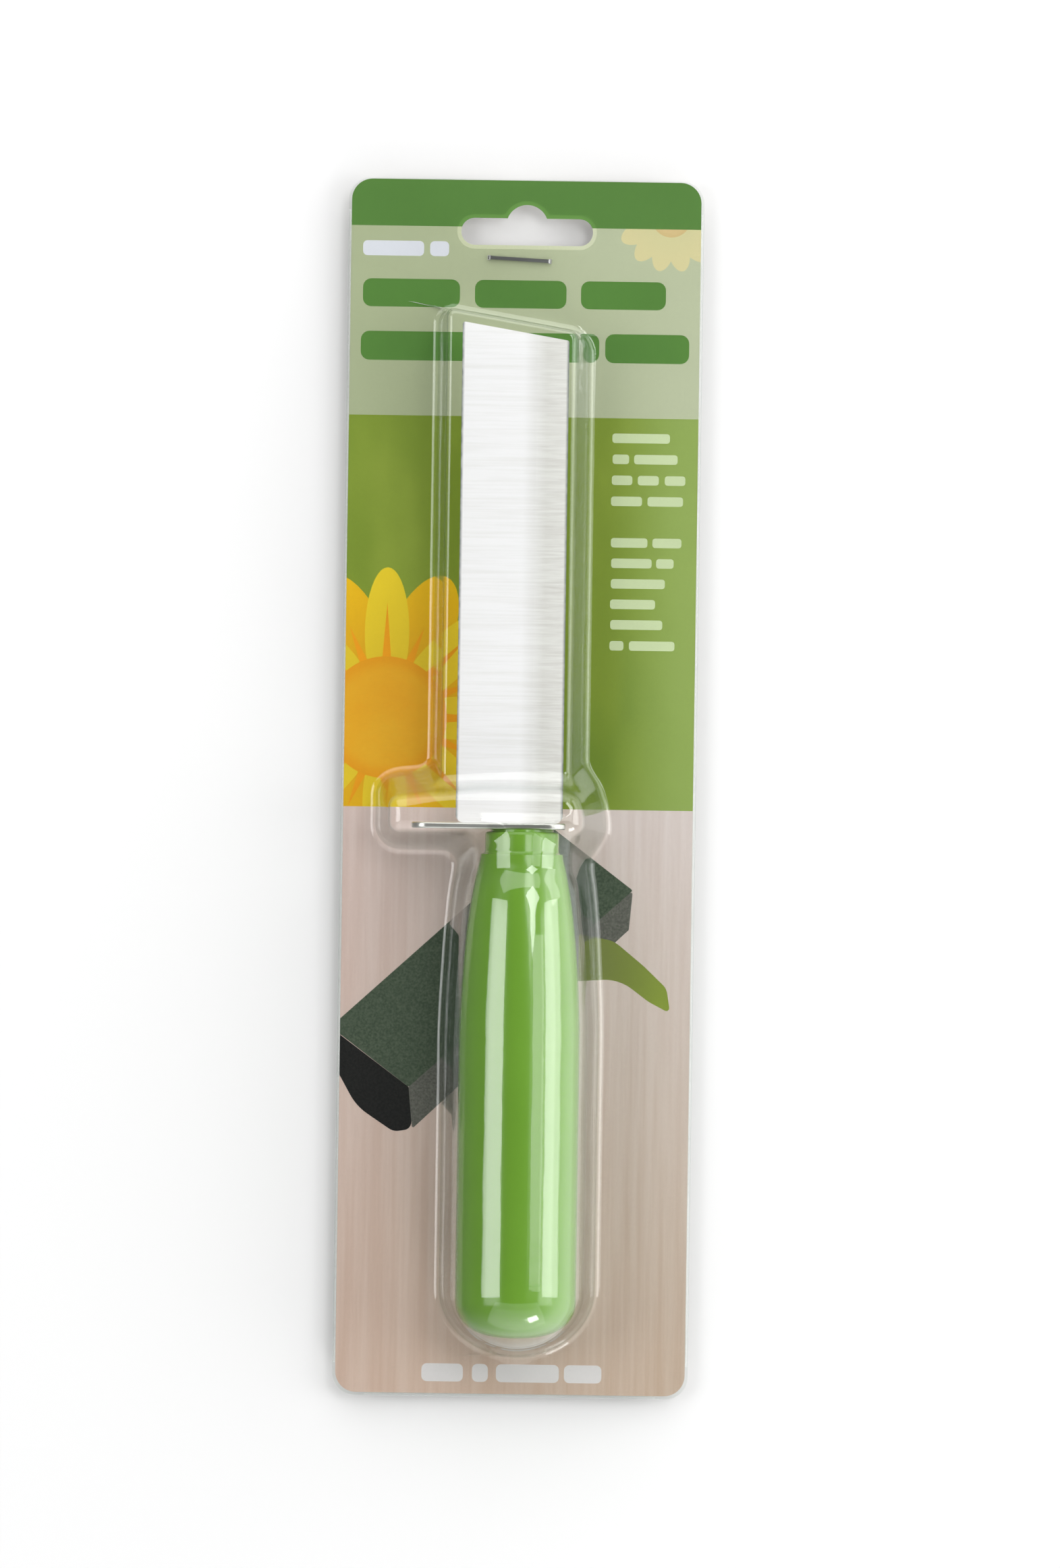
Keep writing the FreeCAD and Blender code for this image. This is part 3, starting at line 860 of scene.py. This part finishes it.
# the pictured foam block's corners, and the small knife's grip
FOAM_TOP = [(-36.5, -47.9), (-35.0, -49.6), (-21.1, -60.0), (23.2, -20.1), (7.2, -8.0)]
FOAM_SIDE = [(-21.1, -60.0), (-20.3, -68.4), (22.5, -28.0), (23.2, -20.1)]
FOAM_END = [
    (-36.5, -48.6),
    (-21.1, -60.0),
    (-20.3, -68.4),
    (-24.0, -69.0),
    (-31.5, -64.0),
    (-36.5, -55.0),
]
FOAM_END_RADII = [0.3, 0.4, 1.6, 2.8, 11.0, 4.0]
FOAM_RADIUS = 0.3
GRIP = [
    (12.5, -29.0),
    (19.5, -30.2),
    (25.6, -35.2),
    (30.2, -39.6),
    (31.0, -44.6),
    (26.6, -42.3),
    (20.6, -37.8),
    (12.5, -38.4),
]
GRIP_RADII = [0.3, 6.0, 14.0, 3.0, 0.6, 9.0, 9.0, 0.3]
GRIP_ROOT = (12.5, -34.0)
GRIP_FADE = (4.0, 18.0)     # its ink changes between these distances from its root

# Plain bars stand for words. A line is its middle, its height and each bar's left and right.
TITLE_LINES = [
    (98.8, 5.6, [(-32.5, -13.1), (-10.1, 8.2), (11.1, 28.1)]),
    (88.2, 5.8, [(-32.8, -10.2), (-8.7, -6.7), (-5.6, 14.9), (16.1, 32.9)]),
]
SERIES_LINES = [(107.7, 3.0, [(-32.6, -20.4), (-19.2, -15.4)])]
NOTE_LINES = [
    (70.3, 1.9, [(17.8, 29.3)]),
    (66.1, 1.9, [(17.9, 21.2), (22.2, 30.9)]),
    (61.9, 1.9, [(17.8, 21.9), (23.0, 27.2), (28.4, 32.5)]),
    (57.7, 1.9, [(17.7, 23.9), (25.0, 32.1)]),
    (49.4, 1.9, [(17.8, 25.1), (26.1, 31.9)]),
    (45.3, 1.9, [(17.9, 26.0), (26.9, 30.4)]),
    (41.2, 1.9, [(17.9, 28.7)]),
    (37.1, 1.9, [(17.8, 26.8)]),
    (33.0, 1.9, [(17.9, 28.3)]),
    (28.8, 1.9, [(17.8, 20.6), (21.7, 30.8)]),
]
SIZE_LINES = [(-117.0, 3.6, [(-17.7, -9.4), (-7.6, -4.4), (-2.8, 9.8), (10.8, 18.3)])]
BAR_ROUND = 0.3             # a bar's corner radius, as a share of its height


def bars(lines):
    outlines = []
    for middle, height, spans in lines:
        for left, right in spans:
            box = rectangle(left, middle - height / 2, right, middle + height / 2)
            outlines.append(rounded(box, height * BAR_ROUND, steps=6))
    return outlines


def circle(centre, radius, steps=72):
    turn = np.linspace(0, 2 * math.pi, steps, endpoint=False)
    return np.column_stack([centre[0] + radius * np.cos(turn), centre[1] + radius * np.sin(turn)])


def petal(centre, angle, near, far, half_width, steps=40):
    """A long oval petal between two distances from its flower's centre."""
    turn = np.linspace(0, 2 * math.pi, steps, endpoint=False)
    along = (near + far) / 2 + (far - near) / 2 * np.cos(turn)
    across = half_width * np.sin(turn)
    c, s = math.cos(angle), math.sin(angle)
    return np.column_stack([centre[0] + along * c - across * s, centre[1] + along * s + across * c])


def wedge(centre, angle, near, far, half_width):
    """A narrow pointed streak on a petal."""
    c, s = math.cos(angle), math.sin(angle)
    corners = [(near, -half_width), (far, 0.0), (near, half_width)]
    return np.array([(centre[0] + a * c - b * s, centre[1] + a * s + b * c) for a, b in corners])


def petal_angles(count, phase):
    return [math.pi / 2 + 2 * math.pi * (k + phase) / count for k in range(count)]


def flower_regions():
    """The big flower: two rings of petals, a streak on each petal, and the disc."""
    angles = petal_angles(FLOWER_PETALS, 0)
    behind = [petal(FLOWER, a, *PETAL_BEHIND) for a in angles[1::2]]
    front = [petal(FLOWER, a, *PETAL_FRONT) for a in angles[0::2]]
    streaks = []
    for k, angle in enumerate(angles):
        streaks.append(wedge(FLOWER, angle, STREAK_START, STREAK_ENDS[k % 2], STREAK_HALF_WIDTH))
    return [
        ("petal_behind", behind),
        ("petal_front", front),
        ("petal_streak", streaks),
        ("flower_disc", [circle(FLOWER, FLOWER_DISC)]),
    ]


def pale_flower_regions():
    angles = petal_angles(PALE_PETALS, 0.5)
    petals = [petal(PALE_FLOWER, a, *PALE_PETAL) for a in angles]
    return [("pale_petal", petals), ("pale_disc", [circle(PALE_FLOWER, PALE_DISC)])]


def foam_regions():
    """The pictured foam block, seen from one end, and the small knife that stands in it."""
    return [
        ("foam_side", [rounded(FOAM_SIDE, FOAM_RADIUS, steps=4)]),
        ("foam_end", [rounded(FOAM_END, FOAM_END_RADII, steps=6)]),
        ("foam_top", [rounded(FOAM_TOP, FOAM_RADIUS, steps=4)]),
        ("small_grip", [rounded(GRIP, GRIP_RADII, steps=6)]),
    ]


def print_regions():
    """The print, from the bottom layer to the top one: (ink, outlines)."""
    left, bottom = CARD_LOW[:2] - PAST_EDGE
    right, top = CARD_HIGH[:2] + PAST_EDGE
    return [
        ("field_ink", [rectangle(left, bottom, right, top)]),
        *flower_regions(),
        ("wood_ink", [rectangle(left, bottom, right, PICTURE_TOP)]),
        *foam_regions(),
        ("olive_ink", [rectangle(left, FIELD_TOP, right, top)]),
        *pale_flower_regions(),
        ("band_ink", [rectangle(left, OLIVE_TOP, right, top)]),
        ("title_ink", bars(TITLE_LINES)),
        ("series_ink", bars(SERIES_LINES)),
        ("note_ink", bars(NOTE_LINES)),
        ("size_ink", bars(SIZE_LINES)),
    ]


def flower_inks():
    """The big flower's inks. Its petals darken towards the disc."""
    behind_base = srgb(226, 170, 26)
    behind_tip = srgb(244, 196, 22)
    front_base = srgb(230, 198, 44)
    front_tip = srgb(244, 214, 46)
    seeds = srgb(238, 186, 46)
    rim = srgb(234, 160, 24)
    return {
        "petal_behind": petal_ink("petal_behind", behind_base, behind_tip, FLOWER, *PETAL_FADE),
        "petal_front": petal_ink("petal_front", front_base, front_tip, FLOWER, *PETAL_FADE),
        "petal_streak": plain_ink("petal_streak", srgb(238, 160, 22)),
        "flower_disc": disc_ink("flower_disc", seeds, rim, FLOWER, FLOWER_DISC),
    }


def foam_inks():
    """The foam block's inks, and the small grip's."""
    grip_root = srgb(122, 130, 70)
    grip_end = srgb(140, 156, 62)
    return {
        "foam_side": foam_ink("foam_side", srgb(88, 88, 82), srgb(116, 114, 108)),
        "foam_end": foam_ink("foam_end", srgb(6, 6, 7), srgb(28, 27, 26)),
        "foam_top": foam_ink("foam_top", srgb(60, 74, 58), srgb(90, 101, 84)),
        "small_grip": petal_ink("small_grip", grip_root, grip_end, GRIP_ROOT, *GRIP_FADE),
    }


def pale_flower_inks():
    petal_base = srgb(212, 204, 158)
    petal_tip = srgb(218, 206, 158)
    middle = srgb(218, 192, 142)
    rim = srgb(210, 184, 132)
    return {
        "pale_petal": petal_ink("pale_petal", petal_base, petal_tip, PALE_FLOWER, *PALE_FADE),
        "pale_disc": disc_ink("pale_disc", middle, rim, PALE_FLOWER, PALE_DISC),
    }


def inks():
    return {
        "field_ink": field_ink(),
        **flower_inks(),
        "wood_ink": wood_ink(),
        **foam_inks(),
        "olive_ink": olive_ink(),
        **pale_flower_inks(),
        "band_ink": plain_ink("band_ink", srgb(88, 131, 59), 0.03),
        "title_ink": plain_ink("title_ink", srgb(87, 133, 57), 0.05),
        "series_ink": plain_ink("series_ink", srgb(222, 222, 232), 0.02),
        "note_ink": plain_ink("note_ink", srgb(206, 218, 176), 0.03),
        "size_ink": plain_ink("size_ink", srgb(224, 218, 220), 0.03),
    }


def card_print():
    """The card's printed face: one thin layer, divided into its inks."""
    corner = SHEET_CORNER - SHEET
    card = rounded(rectangle(*CARD_LOW[:2], *CARD_HIGH[:2]), corner, steps=10)
    cuts = [slot_outline(), *staple_hole_outlines()]
    regions = print_regions()
    outlines = [card, *cuts]
    for _, shapes in regions:
        outlines += shapes
    flat, triangles = triangulate(outlines)
    centres = flat[np.array(triangles)].mean(axis=1)
    kept = inside(centres, card)
    for cut in cuts:
        kept &= ~inside(centres, cut)
    palette = inks()
    layer = np.zeros(len(triangles), int)
    for name, shapes in regions:
        for shape in shapes:
            layer[inside(centres, np.array(shape))] = list(palette).index(name)
    faces = [triangles[i] for i in np.flatnonzero(kept)]
    used = sorted({i for face in faces for i in face})
    order = {old: new for new, old in enumerate(used)}
    faces = [tuple(order[i] for i in face) for face in faces]
    height = CARD_HIGH[2] + PRINT_LIFT + PRINT_THICKNESS
    points = np.column_stack([flat[used], np.full(len(used), height)])
    normals = np.tile([0.0, 0, 1], (len(points), 1))
    both, closed = thicken(points, normals, faces, PRINT_THICKNESS)
    colours = list(layer[kept]) + [len(palette)] * (len(closed) - len(faces))
    materials = [*palette.values(), board()]
    printed = make_object("card_print", both, closed, materials, colours, smooth=False)
    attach(printed, "card")


# ---------------------------------------------------------------- the handle

# the handle's collar and its swelling middle: (distance from its front, radius)
HANDLE_COLLAR = [
    (0.0, 5.0),
    (0.0, 6.2),
    (0.5, 6.25),
    (0.55, 6.9),
    (0.75, 7.25),
    (1.1, 7.35),
    (4.3, 7.35),
    (4.65, 7.45),
    (4.85, 7.7),
]
SWELL_POINTS = [
    (5.0, 8.2),
    (8.3, 8.9),
    (15.0, 10.1),
    (25.8, 11.25),
    (39.9, HANDLE_RADIUS),
    (60.0, HANDLE_RADIUS),
]
HANDLE_SWELL = smooth_curve(SWELL_POINTS)
SWELL_START, SWELL_END = 5.0, 40.0
SWELL_STEPS = 30
HANDLE_STRAIGHT_END = 93.2  # from the handle's front
HANDLE_ROUND = 96
HANDLE_END_SHAPE = 0.8      # below 1 makes the end blunter than a ball
END_STEPS = 24
HANDLE_CREASE = math.radians(50)


def handle_profile():
    """(distance from the front, radius) from the front to the middle of the end."""
    end_depth = HANDLE_FRONT - HANDLE_END - HANDLE_STRAIGHT_END
    swell = [(d, float(HANDLE_SWELL(d))) for d in np.linspace(SWELL_START, SWELL_END, SWELL_STEPS)]
    profile = HANDLE_COLLAR + swell
    for k in range(END_STEPS + 1):
        turn = math.pi / 2 * k / END_STEPS
        depth = HANDLE_STRAIGHT_END + end_depth * math.sin(turn) ** HANDLE_END_SHAPE
        profile.append((depth, HANDLE_RADIUS * max(math.cos(turn), 0.0) ** HANDLE_END_SHAPE))
    return profile


def green_handle():
    """The turned handle."""
    profile = handle_profile()
    points = [(AXIS_X, HANDLE_FRONT, AXIS_Z)]
    for depth, radius in profile[:-1]:
        for k in range(HANDLE_ROUND):
            turn = 2 * math.pi * k / HANDLE_ROUND
            x = AXIS_X + radius * math.cos(turn)
            z = AXIS_Z + radius * math.sin(turn)
            points.append((x, HANDLE_FRONT - depth, z))
    points.append((AXIS_X, HANDLE_END, AXIS_Z))
    rings = len(profile) - 1
    last = len(points) - 1
    faces = []
    for k in range(HANDLE_ROUND):
        n = (k + 1) % HANDLE_ROUND
        faces.append((0, 1 + k, 1 + n))
        for ring in range(rings - 1):
            a = 1 + ring * HANDLE_ROUND
            faces.append((a + k, a + HANDLE_ROUND + k, a + HANDLE_ROUND + n, a + n))
        a = 1 + (rings - 1) * HANDLE_ROUND
        faces.append((a + k, last, a + n))
    handle = make_object("green_handle", points, faces, [handle_green()])
    handle.data.set_sharp_from_angle(angle=HANDLE_CREASE)
    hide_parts("handle")
    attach(handle, "knife")


def repaint(node, material):
    """Gives a CAD piece a better finish."""
    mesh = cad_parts[node].data
    mesh.materials.clear()
    mesh.materials.append(material)


# ---------------------------------------------------------------- the studio

CAMERA_HEIGHT = 2000.0
VIEW_HEIGHT = 313.6         # what the picture's long side takes in, at the card
VIEW_CENTRE = (2.32, 0.91)
VIEW_TURN = math.radians(0.83)
SENSOR = 36.0
CLIP_END = 20.0             # metres
BOX_DISTANCE = 1300.0
# name, tilt from overhead, turn from +X, size across and along, radiance
SOFTBOXES = [
    ("right_strip", 58, 0, 680, 580, 3.6),
    ("left_strip", 45, 180, 740, 640, 3.4),
    ("right_fill", 30, 0, 440, 360, 1.7),
    ("corner_box", 27, 42, 430, 430, 5.4),
    ("far_box", 54, 96, 1250, 2000, 1.65),
    ("near_box", 56, -90, 1500, 2000, 0.7),
    ("end_spot", 66, -66, 240, 300, 10.0),
    ("low_key", 70, 30, 500, 800, 2.2),
]
ROOM_HORIZON = 1.7
ROOM_OVERHEAD = 0.03
ROOM_OVERHEAD_HEIGHT = 0.8  # how high up, of 1, the room is as dark as overhead
ROOM_LEFT = 0.08            # brightness of the left of the room, against the right
ROOM_SIDES = (-0.9, 0.6)    # where the left ends and the right starts, of -1 to 1
FLOOR_HALF = 6000.0
FLOOR_Z = -3.0              # under the pack, so that a soft shade shows round it


def camera():
    data = bpy.data.cameras.new("camera")
    data.sensor_width = SENSOR
    data.lens = SENSOR * CAMERA_HEIGHT / VIEW_HEIGHT
    data.clip_end = CLIP_END
    eye = bpy.data.objects.new("camera", data)
    eye.location = (VIEW_CENTRE[0] * MM, VIEW_CENTRE[1] * MM, (CARD_HIGH[2] + CAMERA_HEIGHT) * MM)
    eye.rotation_euler = (0, 0, VIEW_TURN)
    bpy.context.scene.collection.objects.link(eye)
    bpy.context.scene.camera = eye


def softbox(name, tilt, turn, across, along, radiance):
    """A soft light facing the pack, tilted from overhead towards a compass turn from +X."""
    tilt = math.radians(tilt)
    turn = math.radians(turn)
    data = bpy.data.lights.new(name, "AREA")
    data.shape = "RECTANGLE"
    data.size = across * MM
    data.size_y = along * MM
    data.energy = radiance * math.pi * data.size * data.size_y
    lamp = bpy.data.objects.new(name, data)
    out = Vector((math.sin(tilt) * math.cos(turn), math.sin(tilt) * math.sin(turn), math.cos(tilt)))
    lamp.location = out * BOX_DISTANCE * MM
    lamp.rotation_euler = (0, tilt, turn)
    bpy.context.scene.collection.objects.link(lamp)


def lights():
    for box in SOFTBOXES:
        softbox(*box)


def room():
    """A pale room: dark overhead and at the left, bright near the horizon at the right."""
    world = bpy.data.worlds.new("room")
    world.use_nodes = True
    bpy.context.scene.world = world
    nodes = world.node_tree.nodes
    links = world.node_tree.links
    place = nodes.new("ShaderNodeTexCoord")
    split = nodes.new("ShaderNodeSeparateXYZ")
    links.new(place.outputs["Generated"], split.inputs[0])
    height = nodes.new("ShaderNodeMapRange")
    height.inputs["From Max"].default_value = ROOM_OVERHEAD_HEIGHT
    height.inputs["To Min"].default_value = ROOM_HORIZON
    height.inputs["To Max"].default_value = ROOM_OVERHEAD
    side = nodes.new("ShaderNodeMapRange")
    side.inputs["From Min"].default_value = ROOM_SIDES[0]
    side.inputs["From Max"].default_value = ROOM_SIDES[1]
    side.inputs["To Min"].default_value = ROOM_LEFT
    strength = nodes.new("ShaderNodeMath")
    strength.operation = "MULTIPLY"
    links.new(split.outputs["Z"], height.inputs["Value"])
    links.new(split.outputs["X"], side.inputs["Value"])
    links.new(height.outputs[0], strength.inputs[0])
    links.new(side.outputs[0], strength.inputs[1])
    nodes["Background"].inputs["Color"].default_value = (1, 1, 1, 1)
    links.new(strength.outputs[0], nodes["Background"].inputs["Strength"])


def floor():
    """A wide pale floor. Gloss shows the room instead of it."""
    corners = rectangle(-FLOOR_HALF, -FLOOR_HALF, FLOOR_HALF, FLOOR_HALF)
    points = [(x, y, FLOOR_Z) for x, y in corners]
    ground = make_object("floor", points, [(0, 1, 2, 3)], [floor_paint()], smooth=False)
    ground.visible_glossy = False


# ---------------------------------------------------------------- making

camera()
lights()
room()
floor()
bpy.context.scene.view_settings.view_transform = "Standard"

clear_blister()
card_print()
green_handle()
repaint("backing_card", board())
repaint("blade", ground_steel())
repaint("guard", drawn_steel("guard_steel", srgb(214, 212, 208), 0.3))
repaint("staple", drawn_steel("staple_steel", srgb(150, 152, 150), 0.3))
